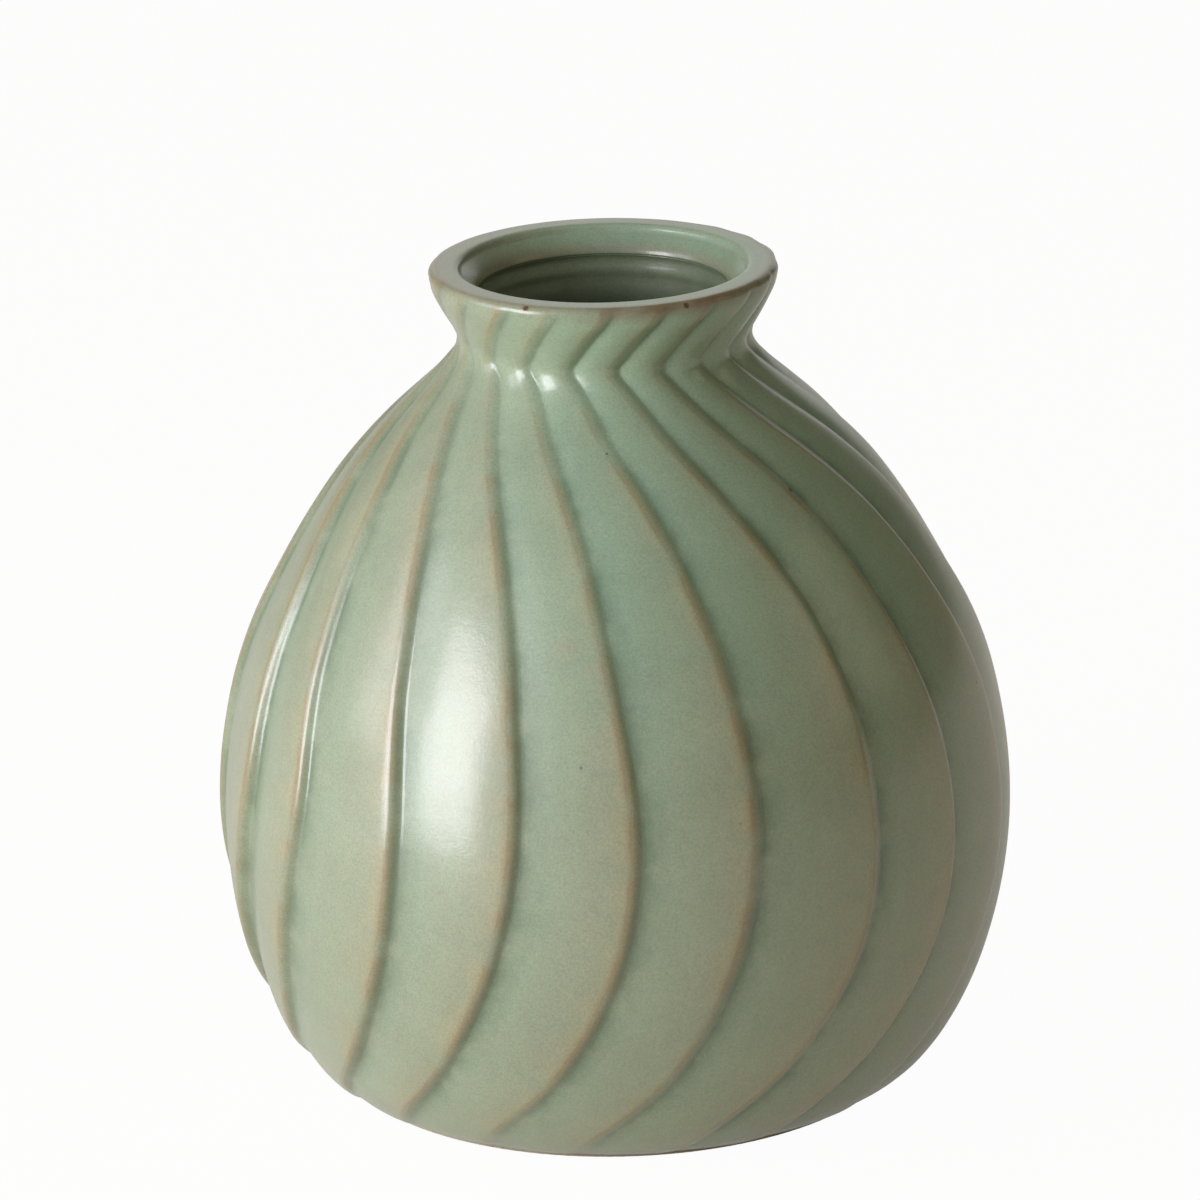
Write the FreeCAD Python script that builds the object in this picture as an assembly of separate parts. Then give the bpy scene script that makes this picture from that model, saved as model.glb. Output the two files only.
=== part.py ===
# Squat vase with twisted ribs, in glazed stoneware.
# Millimetres, +Z up, origin at the middle of the foot, on the table. The photographed side faces -Y.
# The clay is a body wall with a luted collar, a floor and a foot ring. One coat of glaze covers the
# outside and folds over the rim to a ledge in the mouth. A second coat lines the inside below it.
import FreeCAD
import Part
import math
import os
from FreeCAD import Vector

# Outer form, measured over the glaze at the rib crests
height = 170.0
foot_height = 0.6
belly_height = 57.5
collar_height = 15.0
base_radius = 58.6
belly_radius = 81.4
neck_radius = 29.8
rim_flare = 5.4
rim_round = 1.6

# Ribs: each swells from a valley to a crest, then drops in a step to the next valley.
# The step is measured from the crest to the valley, round the vase. Over the last part of the
# shoulder, as high as softening_height, the ribs turn into the soft folds of the neck.
rib_count = 20
rib_depth = 2.3
step_width = 2.9
widest_step_share = 0.4
softening_height = 50.0
neck_crest_angle = -32.3
foot_turn = 32.6
shoulder_turn = 34.9
collar_turn = 16.3

# Clay
wall = 4.4
neck_wall = 3.1
floor_thickness = 5.0
floor_seat = 8.6
foot_inset = 0.6
foot_width = 10.0
foot_edge_round = 0.2
inside_corner = 1.5
lute_depth = 2.5
lute_thickness = 1.6
lute_gap = 0.1

# Glaze: thin where it breaks over a crest, thick where it pools in a valley
crest_glaze = 0.25
valley_glaze = 0.6
land_glaze = 0.4
lining = 0.4

# Mouth, measured over the glaze
lip_width = 6.4
lip_round = 0.8
ledge_reach = 3.7
ledge_depth = 5.3
groove_depth = 0.6

# One rib across its pitch: (share of the pitch, share of the rise from valley to crest on the bulb,
# and the same at the neck)
rib_shares = (
    (0.000, 0.00, 0.00),
    (0.060, 0.07, 0.14),
    (0.150, 0.20, 0.38),
    (0.300, 0.43, 0.70),
    (0.490, 0.69, 0.93),
    (0.670, 0.89, 1.00),
    (0.790, 0.98, 0.97),
    (0.860, 0.97, 0.86),
    (0.905, 0.78, 0.66),
    (0.940, 0.43, 0.40),
    (0.970, 0.13, 0.15),
    (1.000, 0.00, 0.00),
)
crest_share = 0.83

# Stations up the outside: (height, radius, turn and rib depth, each as a share of its own span)
lower_shares = (
    (0.000, 0.000, 0.000, 0.30),
    (0.030, 0.132, 0.080, 0.42),
    (0.070, 0.254, 0.145, 0.55),
    (0.160, 0.440, 0.280, 0.75),
    (0.250, 0.570, 0.420, 0.87),
    (0.340, 0.675, 0.540, 0.94),
    (0.520, 0.833, 0.712, 1.00),
    (0.700, 0.937, 0.831, 1.00),
    (0.850, 0.987, 0.905, 1.00),
    (1.000, 1.000, 0.955, 1.00),
)
upper_shares = (
    (0.087, 0.991, 0.986, 1.00),
    (0.195, 0.961, 1.000, 0.98),
    (0.300, 0.913, 0.988, 0.95),
    (0.405, 0.839, 0.958, 0.91),
    (0.510, 0.736, 0.914, 0.86),
    (0.615, 0.616, 0.850, 0.80),
    (0.720, 0.474, 0.748, 0.73),
    (0.823, 0.298, 0.573, 0.66),
    (0.887, 0.167, 0.413, 0.60),
    (0.938, 0.067, 0.258, 0.57),
    (0.971, 0.018, 0.130, 0.55),
    (1.000, 0.000, 0.017, 0.54),
)
collar_shares = (
    (0.090, 0.030, 0.060, 0.54),
    (0.175, 0.125, 0.180, 0.54),
    (0.350, 0.375, 0.400, 0.54),
    (0.560, 0.683, 0.650, 0.50),
    (0.745, 0.920, 0.870, 0.32),
)

# The throat from the lute up to the ledge: (share of the rise, share of the way out to the groove)
throat_shares = (
    (0.00, 0.00),
    (0.30, 0.00),
    (0.58, 0.00),
    (0.76, 0.25),
    (0.89, 1.00),
)
# The mouth from the lip's round down to the ledge: (share of the drop, share of the way in)
mouth_shares = (
    (0.00, 0.00),
    (0.35, 0.26),
    (0.70, 0.76),
    (1.00, 1.00),
)
rim_steps = 4

rim_radius = neck_radius + rim_flare
neck_height = height - collar_height
lute_height = neck_height - lute_depth
ledge_height = height - ledge_depth
floor_top = foot_height + floor_thickness
floor_radius = base_radius - floor_seat
foot_outer_radius = base_radius - foot_inset
foot_inner_radius = foot_outer_radius - foot_width
mouth_radius = rim_radius - lip_width
ledge_radius = mouth_radius - ledge_reach
pitch = 360.0 / rib_count
sewing_gap = 0.001
halvings = 50


def glaze_thickness(depth, rise):
    """Glaze over a point of a rib: the deeper the rib, the more the glaze runs off its crest."""
    pooled = (valley_glaze - crest_glaze) * depth / rib_depth
    return crest_glaze + pooled * (1 - rise)


def body_stations():
    """Height, crest radius, crest angle and rib depth at each station from the foot to the neck."""
    stations = []
    for rise, swell, turn, depth in lower_shares:
        z = foot_height + rise * (belly_height - foot_height)
        radius = base_radius + swell * (belly_radius - base_radius)
        angle = neck_crest_angle + shoulder_turn - (1 - turn) * foot_turn
        stations.append((z, radius, angle, depth * rib_depth))
    for rise, swell, turn, depth in upper_shares:
        z = belly_height + rise * (neck_height - belly_height)
        radius = neck_radius + swell * (belly_radius - neck_radius)
        angle = neck_crest_angle + turn * shoulder_turn
        stations.append((z, radius, angle, depth * rib_depth))
    return stations


def collar_stations(top):
    """The same from just over the neck to the land at height top, where the rim has turned over."""
    stations = []
    for rise, swell, turn, depth in collar_shares:
        z = neck_height + rise * (top - neck_height)
        radius = neck_radius + swell * (rim_radius - neck_radius)
        angle = neck_crest_angle + turn * collar_turn
        stations.append((z, radius, angle, depth * rib_depth))
    fade = stations[-1][3] / 2
    for step in range(rim_steps + 1):
        round_angle = math.radians(90 * step / rim_steps)
        z = top - rim_round + rim_round * math.sin(round_angle)
        radius = rim_radius - rim_round + rim_round * math.cos(round_angle)
        stations.append((z, radius, neck_crest_angle + collar_turn, fade * (1 - step / rim_steps)))
    return stations


def place_across(share, radius):
    """Where a share of the rib lies at this radius: the step keeps its width as the ribs narrow."""
    step = min(widest_step_share, step_width / (radius * math.radians(pitch)))
    if share > crest_share:
        return 1 - step * (1 - share) / (1 - crest_share)
    return (1 - step) * share / crest_share


def softness(z):
    """How far the ribs have turned from the bulb's shingles into the neck's folds at height z."""
    climb = (z - neck_height + softening_height) / softening_height
    climb = min(1, max(0, climb))
    return climb * climb * (3 - 2 * climb)


def rib_surface(top, is_clay):
    """The outside of one rib, from valley to valley and from the foot to the land."""
    rows = []
    for z, radius, crest_angle, depth in body_stations() + collar_stations(top):
        row = []
        for share, bulb_rise, neck_rise in rib_shares:
            rise = bulb_rise + softness(z) * (neck_rise - bulb_rise)
            reach = radius - depth * (1 - rise)
            if is_clay:
                reach -= glaze_thickness(depth, rise)
            across = place_across(share, radius) - place_across(crest_share, radius)
            angle = math.radians(crest_angle + across * pitch)
            row.append(Vector(reach * math.sin(angle), -reach * math.cos(angle), z))
        rows.append(row)
    surface = Part.BSplineSurface()
    surface.interpolate(rows)
    return surface


def split_at_neck(surface):
    """The faces of a rib surface below and above the neck."""
    first, last, side, other_side = surface.bounds()
    low, high = first, last
    for _ in range(halvings):
        middle = (low + high) / 2
        if surface.value(middle, side).z < neck_height:
            low = middle
        else:
            high = middle
    below = surface.copy()
    below.segment(first, middle, side, other_side)
    above = surface.copy()
    above.segment(middle, last, side, other_side)
    return below.toShape(), above.toShape()


def all_round(face):
    """Copies of one face, a pitch apart, all the way round the axis."""
    faces = []
    for number in range(rib_count):
        turned = face.copy()
        turned.rotate(Vector(0, 0, 0), Vector(0, 0, 1), number * pitch)
        faces.append(turned)
    return faces


def level_ring(faces, z, radius):
    """The flat face at height z between the ribbed edge of some faces and a circle inside it."""
    edges = []
    for face in faces:
        for edge in face.Edges:
            if abs(edge.BoundBox.ZMin - z) < sewing_gap and abs(edge.BoundBox.ZMax - z) < sewing_gap:
                edges.append(edge)
    ribbed = Part.Wire(Part.sortEdges(edges)[0])
    circle = Part.Wire(Part.makeCircle(radius, Vector(0, 0, z)))
    return Part.makeFace([ribbed, circle], "Part::FaceMakerBullseye")


def level_band(outer_faces, inner_faces, z):
    """The flat face at height z between the ribbed edges of two sets of faces."""
    core = floor_radius
    outer = level_ring(outer_faces, z, core).Wires
    inner = level_ring(inner_faces, z, core).Wires
    ribbed = [max(wires, key=lambda wire: wire.Length) for wires in (outer, inner)]
    return Part.makeFace(ribbed, "Part::FaceMakerBullseye")


def line(*points):
    """Straight edges through points of the section, each given as (radius, height)."""
    corners = [Vector(radius, 0, z) for radius, z in points]
    return [Part.makeLine(start, end) for start, end in zip(corners, corners[1:])]


def curve(points, first_way, last_way):
    """One smooth edge through points of the section, with the ways it leaves and arrives."""
    leaving = Vector(first_way[0], 0, first_way[1])
    arriving = Vector(last_way[0], 0, last_way[1])
    spline = Part.BSplineCurve()
    spline.interpolate(
        Points=[Vector(radius, 0, z) for radius, z in points],
        InitialTangent=leaving.normalize(),
        FinalTangent=arriving.normalize(),
        Scale=False,
    )
    return spline.toShape()


def spin(edges):
    """The faces that edges of the section sweep in one full turn about the axis."""
    return [edge.revolve(Vector(0, 0, 0), Vector(0, 0, 1), 360) for edge in edges]


def solid_from_faces(faces):
    """One solid inside faces that meet edge to edge."""
    shell = Part.makeShell(faces)
    shell.sewShape(sewing_gap)
    solid = Part.makeSolid(shell)
    if solid.Volume < 0:
        solid.reverse()
    return solid


def solid_from_section(edges):
    """The solid that a closed outline of the section sweeps in one full turn about the axis."""
    face = Part.Face(Part.Wire(Part.sortEdges(edges)[0]))
    return face.revolve(Vector(0, 0, 0), Vector(0, 0, 1), 360)


def throat_radius():
    """The clay's inner radius at the neck, a wall's thickness inside the deepest valley."""
    depth = upper_shares[-1][3] * rib_depth
    return neck_radius - depth - glaze_thickness(depth, 0) - neck_wall


def hollow_curve(cover):
    """The inside of the body from the floor's edge to the lute, on the clay or over a cover on it.

    It follows the outside at the wall's thickness, measured square to the surface."""
    stations = body_stations()
    outside = Part.BSplineCurve()
    outside.interpolate([Vector(radius, 0, z) for z, radius, _, _ in stations])
    start = (floor_radius, floor_top + cover)
    end = (throat_radius() - cover, lute_height)
    points = [start]
    for z, radius, _, depth in stations:
        along = outside.tangent(outside.parameter(Vector(radius, 0, z)))[0]
        climb = max(0, (z - belly_height) / (neck_height - belly_height))
        clay = wall + (neck_wall - wall) * climb ** 4
        inset = depth + glaze_thickness(depth, 0) + clay + cover
        inner = (radius - inset * along.z, z + inset * along.x)
        clear_of_floor = inner[1] > start[1] + inside_corner
        clear_of_lute = inner[0] > end[0] + inside_corner and inner[1] < end[1] - inside_corner
        if clear_of_floor and clear_of_lute:
            points.append(inner)
    points.append(end)
    return curve(points, (1, 0), (0, 1))


def throat_curve(cover):
    """The inside of the collar from the lute to the ledge, with the groove under the ledge."""
    throat = throat_radius() - cover
    ledge = ledge_radius + land_glaze - cover
    groove = ledge + groove_depth
    points = []
    for rise, swell in throat_shares:
        z = lute_height + rise * (ledge_height - lute_height)
        points.append((throat + swell * (groove - throat), z))
    points.append((ledge, ledge_height))
    return curve(points, (0, 1), (-1, 1))


def mouth_edges(cover):
    """The inside of the lip from the ledge up to the land, on the glaze or a cover's depth under it."""
    top = height - cover
    mouth = mouth_radius + cover
    ledge = ledge_radius + cover
    drop = top - lip_round - ledge_height
    points = []
    for fall, reach in mouth_shares:
        points.append((mouth - reach * (mouth - ledge), top - lip_round - fall * drop))
    diagonal = lip_round * (1 - math.sqrt(0.5))
    lip = Part.Arc(
        Vector(mouth, 0, top - lip_round),
        Vector(mouth + diagonal, 0, top - diagonal),
        Vector(mouth + lip_round, 0, top),
    )
    return [curve(points, (0, -1), (0, -1)), lip.toShape()]


def export(shape, name):
    """Write one piece, and print what it measures."""
    box = shape.BoundBox
    print(
        f"{name}: {shape.ShapeType}, valid {shape.isValid()}, {shape.Volume / 1000:.1f} cm3, "
        f"z {box.ZMin:.2f} to {box.ZMax:.2f}, widest {box.XLength:.2f}"
    )
    shape.exportStep(f"parts/{name}.step")


clay_top = height - land_glaze
land_inner_radius = mouth_radius + lip_round
clay_ledge_radius = ledge_radius + land_glaze
lute_radius = throat_radius() + lute_thickness

clay_below, clay_above = split_at_neck(rib_surface(clay_top, True))
clay_body_faces = all_round(clay_below)
clay_collar_faces = all_round(clay_above)
glaze_faces = all_round(rib_surface(height, False).toShape())


def make_body_wall():
    """The bulb, open at the foot for the floor, with a rebate round the neck for the collar."""
    socket_radius = lute_radius + lute_gap
    inside = line((floor_radius, foot_height), (floor_radius, floor_top))
    inside.append(hollow_curve(0))
    inside += line(
        (throat_radius(), lute_height),
        (socket_radius, lute_height),
        (socket_radius, neck_height),
    )
    foot_edge = level_ring(clay_body_faces, foot_height, floor_radius)
    neck_edge = level_ring(clay_body_faces, neck_height, socket_radius)
    return solid_from_faces(clay_body_faces + spin(inside) + [foot_edge, neck_edge])


def make_collar():
    """The flared collar, whose spigot sits in the body's rebate and is luted there."""
    inside = line((lute_radius, neck_height), (lute_radius, lute_height), (throat_radius(), lute_height))
    inside.append(throat_curve(0))
    inside += mouth_edges(land_glaze)
    shoulder = level_ring(clay_collar_faces, neck_height, lute_radius)
    land = level_ring(clay_collar_faces, clay_top, land_inner_radius + land_glaze)
    return solid_from_faces(clay_collar_faces + spin(inside) + [shoulder, land])


def make_floor():
    """The flat disc that closes the body."""
    return Part.makeCylinder(floor_radius, floor_thickness, Vector(0, 0, foot_height))


def make_foot_ring():
    """The bare ring that the vase stands on, rounded where it meets the table."""
    ring = solid_from_section(line(
        (foot_inner_radius, 0),
        (foot_outer_radius, 0),
        (foot_outer_radius, foot_height),
        (foot_inner_radius, foot_height),
        (foot_inner_radius, 0),
    ))
    table_edges = [edge for edge in ring.Edges if edge.BoundBox.ZMax < foot_edge_round]
    return ring.makeFillet(foot_edge_round, table_edges).Solids[0]


def make_outer_glaze():
    """The coat from the foot edge up over the ribs and the rim and down to the ledge."""
    inside = mouth_edges(0) + line((ledge_radius, ledge_height), (clay_ledge_radius, ledge_height))
    inside += mouth_edges(land_glaze)
    foot_edge = level_band(glaze_faces, clay_body_faces, foot_height)
    land = level_ring(glaze_faces, height, land_inner_radius)
    clay_land = level_ring(clay_collar_faces, clay_top, land_inner_radius + land_glaze)
    clay_faces = clay_body_faces + clay_collar_faces
    return solid_from_faces(glaze_faces + clay_faces + spin(inside) + [foot_edge, land, clay_land])


def make_inner_glaze():
    """The lining from the ledge down the throat and the wall and across the floor."""
    edges = [hollow_curve(0), hollow_curve(lining), throat_curve(0), throat_curve(lining)]
    edges += line((clay_ledge_radius, ledge_height), (clay_ledge_radius - lining, ledge_height))
    edges += line((0, floor_top), (floor_radius, floor_top))
    edges += line((floor_radius, floor_top + lining), (0, floor_top + lining), (0, floor_top))
    return solid_from_section(edges)


os.makedirs("parts", exist_ok=True)
export(make_body_wall(), "body_wall")
export(make_collar(), "collar")
export(make_floor(), "floor")
export(make_foot_ring(), "foot_ring")
export(make_outer_glaze(), "outer_glaze")
export(make_inner_glaze(), "inner_glaze")
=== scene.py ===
# %% [markdown]
# # A squat ribbed vase in sage green stoneware
# The vase is a low bulb with twenty twisted ribs, a narrow neck and a short flared collar. Its clay and
# its glaze are separate pieces, because a potter makes them apart: the clay is pressed, joined and fired,
# and the glaze is a coat of melted glass over it. This lesson shapes each piece from a section that is
# spun about the axis and then carved, and gives each its finish.

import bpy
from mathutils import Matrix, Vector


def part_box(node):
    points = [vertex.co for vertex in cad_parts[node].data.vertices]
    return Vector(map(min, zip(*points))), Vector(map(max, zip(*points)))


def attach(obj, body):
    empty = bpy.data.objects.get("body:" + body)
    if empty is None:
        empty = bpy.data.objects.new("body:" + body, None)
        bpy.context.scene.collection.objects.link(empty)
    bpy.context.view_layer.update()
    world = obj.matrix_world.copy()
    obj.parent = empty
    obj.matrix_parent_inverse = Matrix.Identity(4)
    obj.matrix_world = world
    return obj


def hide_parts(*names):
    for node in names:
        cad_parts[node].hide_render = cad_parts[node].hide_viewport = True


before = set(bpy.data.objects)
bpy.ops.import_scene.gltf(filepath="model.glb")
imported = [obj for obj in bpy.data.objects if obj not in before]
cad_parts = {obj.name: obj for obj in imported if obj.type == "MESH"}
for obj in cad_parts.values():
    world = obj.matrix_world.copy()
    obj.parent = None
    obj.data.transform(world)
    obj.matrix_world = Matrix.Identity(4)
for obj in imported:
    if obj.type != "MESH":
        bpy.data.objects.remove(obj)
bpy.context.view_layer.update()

# %% Tools for the whole lesson
import math
import random

import bmesh
import bpy
import numpy as np
from mathutils import Matrix, Vector

MM = 0.001
scene = bpy.context.scene
scene.view_settings.view_transform = "Standard"
print("One millimetre is", MM, "of Blender's units, which are metres")

# %% [markdown]
# ## The camera
# A long lens from a good metre away keeps the bulb from bulging towards the viewer. The camera stands a
# little above the rim, so that the mouth shows as an ellipse. It could be aimed with a Track To
# constraint, but three turns in a row say more plainly what it does: it pans, tips down and rolls.

# %% Camera
camera_place = Vector((0, -1285.0, 525.2)) * MM
camera_pan, camera_tip, camera_roll = 0.0017, 0.3206, -0.0239
camera_data = bpy.data.cameras.new("camera")
camera_data.sensor_width = 36.0
camera_data.lens = 198.97
camera = bpy.data.objects.new("camera", camera_data)
scene.collection.objects.link(camera)
camera.matrix_world = (
    Matrix.Translation(camera_place)
    @ Matrix.Rotation(camera_pan, 4, "Z")
    @ Matrix.Rotation(math.pi / 2 - camera_tip, 4, "X")
    @ Matrix.Rotation(camera_roll, 4, "Z")
)
scene.camera = camera
print("Camera stands", round(camera_place.length, 3), "m from the foot")

# %% [markdown]
# ## Nodes and colours
# Colours are written as on a paint chart, in sRGB hex, and the shader wants linear light, so one function
# turns the one into the other. One more function adds any node, with its settings, its values and its
# links in one line, so that a material reads from top to bottom like a recipe.


# %% Two helpers for materials
def colour(hex_code):
    """An sRGB hex colour as the linear red, green, blue and alpha that a socket takes."""
    parts = [int(hex_code[place:place + 2], 16) / 255 for place in (0, 2, 4)]
    return [part / 12.92 if part <= 0.04045 else ((part + 0.055) / 1.055) ** 2.4 for part in parts] + [1.0]


def add(tree, kind, sockets=None, stops=(), **settings):
    """Add a node, set it up, and give each named or numbered socket its value or its link."""
    node = tree.nodes.new("ShaderNode" + kind)
    for name, value in settings.items():
        setattr(node, name, value)
    for number, (place, hex_code, alpha) in enumerate(stops):
        band = node.color_ramp.elements
        stop = band[number] if number < len(band) else band.new(place)
        stop.position = place
        stop.color = colour(hex_code)[:3] + [alpha]
    for socket, value in (sockets or {}).items():
        if isinstance(value, bpy.types.NodeSocket):
            tree.links.new(value, node.inputs[socket])
        else:
            node.inputs[socket].default_value = value
    return node


print("Middle grey in linear light:", [round(part, 3) for part in colour("808080")])

# %% [markdown]
# ## The floor
# The photograph was taken on plain white. The floor could be lit until it burns out, but then the vase
# would be lit too strongly as well. So the floor shows nearly all of its white to the camera as its own
# glow, over a little matt paper that takes the vase's shadow, and lights the vase as matt paper alone.

# %% Floor
floor_reach = 6.0
# The glaze mirrors less of the floor's glow, as the table near the vase lies in the vase's own shade.
glow_to_camera, glow_to_glaze = 0.97, 0.28

floor_mesh = bmesh.new()
bmesh.ops.create_grid(floor_mesh, x_segments=1, y_segments=1, size=floor_reach)
floor_data = bpy.data.meshes.new("floor_sheet")
floor_mesh.to_mesh(floor_data)
floor_mesh.free()
floor_sheet = bpy.data.objects.new("floor_sheet", floor_data)
scene.collection.objects.link(floor_sheet)

# Background paper has no coating, so it is matt all over and has no gloss.
paper = bpy.data.materials.new("white_paper")
paper.use_nodes = True
tree = paper.node_tree
tree.nodes.clear()
ray = add(tree, "LightPath")
seen = add(tree, "Math", {
    0: ray.outputs["Is Camera Ray"], 1: ray.outputs["Is Transmission Ray"],
}, operation="MAXIMUM")
mirrored = add(tree, "Math", {0: ray.outputs["Is Glossy Ray"], 1: glow_to_glaze}, operation="MULTIPLY")
seen = add(tree, "Math", {0: seen.outputs[0], 1: mirrored.outputs[0]}, operation="MAXIMUM")
glow_part = add(tree, "Math", {0: seen.outputs[0], 1: glow_to_camera}, operation="MULTIPLY")
matt = add(tree, "BsdfDiffuse", {"Color": colour("e2dccb")})
glow = add(tree, "Emission", {"Color": colour("ffffff"), "Strength": 1.0})
both = add(tree, "MixShader", {0: glow_part.outputs[0], 1: matt.outputs[0], 2: glow.outputs[0]})
add(tree, "OutputMaterial", {"Surface": both.outputs[0]})
floor_data.materials.append(paper)
print("The floor is", 2 * floor_reach, "m wide")

# %% [markdown]
# ## The room
# The vase stands in a white room with its window on the left. A picture of a room could light it, but a
# plain gradient is enough: bright and cool towards the window, and dim and warm on the other side. The
# camera sees clean white instead. The white backdrop behind the vase is what the glaze mirrors along its
# far edges and in the lip.

# %% Surroundings
towards_window, towards_backdrop = (-0.68, -0.52, 0.52), (0.10, 0.97, 0.22)
dimmest, brightest = 0.015, 0.51
faintest_sheen, full_sheen = 0.04, 0.65

sky = bpy.data.worlds.new("white_room")
scene.world = sky
sky.use_nodes = True
tree = sky.node_tree
tree.nodes.clear()
ray = add(tree, "LightPath")
seen = add(tree, "Math", {
    0: ray.outputs["Is Camera Ray"], 1: ray.outputs["Is Transmission Ray"],
}, operation="MAXIMUM")
heading = add(tree, "TexCoord").outputs["Generated"]
side = add(tree, "VectorMath", {0: heading, 1: towards_window}, operation="DOT_PRODUCT")
fall = add(tree, "MapRange", {
    "Value": side.outputs["Value"], "From Min": -0.62, "From Max": 0.9,
    "To Min": dimmest, "To Max": brightest,
})
tint = add(tree, "ValToRGB", {0: fall.outputs[0]}, stops=((0.14, "ffe2a2", 1.0), (0.44, "f8fbff", 1.0)))
room = add(tree, "Background", {"Color": tint.outputs[0], "Strength": fall.outputs[0]})
white = add(tree, "Background", {"Color": colour("ffffff"), "Strength": 1.0})
behind = add(tree, "VectorMath", {0: heading, 1: towards_backdrop}, operation="DOT_PRODUCT")
sheen = add(tree, "MapRange", {
    "Value": behind.outputs["Value"], "From Min": 0.84, "From Max": 0.97,
    "To Min": faintest_sheen, "To Max": full_sheen,
}, interpolation_type="SMOOTHSTEP")
sheen = add(tree, "Math", {0: ray.outputs["Is Glossy Ray"], 1: sheen.outputs[0]}, operation="MULTIPLY")
dim = add(tree, "MixShader", {0: sheen.outputs[0], 1: room.outputs[0], 2: white.outputs[0]})
both = add(tree, "MixShader", {0: seen.outputs[0], 1: dim.outputs[0], 2: white.outputs[0]})
add(tree, "OutputWorld", {"Surface": both.outputs[0]})
print("The room's light runs from", dimmest, "to", brightest)

# %% [markdown]
# ## The lamps
# A glossy pot is shaped for the eye by what it mirrors, so the lamps are rectangles like windows, and not
# points. A rectangle shows in the glaze halfway between the directions to the lamp and to the camera,
# which is how the window was placed: its tall patch lies on the panel left of the middle. A fainter one
# beside it catches the edges of the ribs on the left, and a faint warm one gives the dull patch on the right.

# %% Lamps
lamp_distance = 1.1
lamp_aim = Vector((0, 0, 80 * MM))


def softbox(name, azimuth, rise, size, power, hex_code):
    """A rectangular lamp that faces the middle of the vase, azimuth degrees right of the camera's side."""
    lamp_data = bpy.data.lights.new(name, "AREA")
    lamp_data.shape = "RECTANGLE"
    lamp_data.size, lamp_data.size_y = size
    lamp_data.energy = power
    lamp_data.color = colour(hex_code)[:3]
    lamp = bpy.data.objects.new(name, lamp_data)
    scene.collection.objects.link(lamp)
    turn, lift = math.radians(azimuth), math.radians(rise)
    away = Vector((math.sin(turn) * math.cos(lift), -math.cos(turn) * math.cos(lift), math.sin(lift)))
    lamp.location = lamp_aim + away * lamp_distance
    lamp.rotation_euler = away.to_track_quat("Z", "Y").to_euler()
    print(name, "gives", power, "W from", azimuth, "degrees")


softbox("window", -57, 13, (0.44, 0.80), 10.6, "f9f9ff")
softbox("window_side", -84, 20, (0.30, 0.50), 1.3, "f8faff")
softbox("far_window", 78, 25, (0.46, 0.46), 0.38, "ffe9c4")

# %% [markdown]
# ## The section of the outside
# Every piece of the vase is round, so each one starts as half of its section, like a potter's template.
# The table gives the outside at the rib crests, measured in the photograph: how high, how far out, how
# far round the crest has twisted, and how deep the valleys are. A smooth curve through the rows fills in
# the rest. A lofted surface would also do, but a table is easier to read and to correct.

# %% Measured stations, from the foot to the start of the rim's round
# height mm, radius mm, crest angle in degrees right of the front, rib depth mm
stations = np.array((
    (0.6, 58.60, -30.0, 0.69),
    (2.3, 61.61, -27.4, 0.97),
    (4.6, 64.39, -25.3, 1.26),
    (9.7, 68.63, -20.9, 1.72),
    (14.8, 71.60, -16.3, 2.00),
    (19.9, 73.99, -12.4, 2.16),
    (30.2, 77.59, -6.8, 2.30),
    (40.4, 79.96, -2.9, 2.30),
    (49.0, 81.10, -0.5, 2.30),
    (57.5, 81.40, 1.1, 2.30),
    (66.0, 80.94, 2.1, 2.30),
    (76.5, 79.39, 2.6, 2.25),
    (86.8, 76.91, 2.2, 2.18),
    (97.0, 73.09, 1.1, 2.09),
    (107.2, 67.78, -0.4, 1.98),
    (117.5, 61.59, -2.6, 1.84),
    (127.7, 54.26, -6.2, 1.68),
    (137.7, 45.18, -12.3, 1.52),
    (144.0, 38.42, -17.9, 1.38),
    (149.0, 33.26, -23.3, 1.31),
    (152.2, 30.73, -27.8, 1.26),
    (155.0, 29.80, -31.7, 1.24),
    (156.3, 29.96, -31.3, 1.24),
    (157.6, 30.48, -29.4, 1.24),
    (160.2, 31.83, -25.8, 1.24),
    (163.4, 33.49, -21.7, 1.15),
    (166.2, 34.77, -18.1, 0.74),
    (168.4, 35.20, -16.0, 0.37),
))


def smooth_through(table, column, place):
    """A column's value at a place in the first column, on a smooth curve through the rows."""
    knots, values = table[:, 0], table[:, column]
    slopes = np.gradient(values, knots)
    low = np.clip(np.searchsorted(knots, place) - 1, 0, len(knots) - 2)
    width = knots[low + 1] - knots[low]
    step = (place - knots[low]) / width
    start = values[low] * (1 + 2 * step) + slopes[low] * width * step
    end = values[low + 1] * (3 - 2 * step) + slopes[low + 1] * width * (step - 1)
    return start * (1 - step) ** 2 + end * step ** 2


print("Radius at 100 mm:", round(float(smooth_through(stations, 1, 100.0)), 2), "mm")

# %% [markdown]
# ## The section across one rib
# The ribs lie like shingles. Each swells from its valley to a crest, and then drops in a step to the next
# valley. Near the neck the shingles turn into soft folds, so the table has a column for each form, and
# the last 50 mm of the shoulder blends them. The step keeps its width in mm while the ribs narrow.

# %% One rib
rib_count = 20
pitch = math.radians(360 / rib_count)
crest_share = 0.83
step_width, widest_step_share = 2.9, 0.4
softening_height = 50.0
# share of the pitch, share of the rise from valley to crest on the bulb, and the same at the neck
rib_shares = np.array((
    (0.000, 0.00, 0.00),
    (0.060, 0.07, 0.14),
    (0.150, 0.20, 0.38),
    (0.300, 0.43, 0.70),
    (0.490, 0.69, 0.93),
    (0.670, 0.89, 1.00),
    (0.790, 0.98, 0.97),
    (0.860, 0.97, 0.86),
    (0.905, 0.78, 0.66),
    (0.940, 0.43, 0.40),
    (0.970, 0.13, 0.15),
    (1.000, 0.00, 0.00),
))


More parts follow.
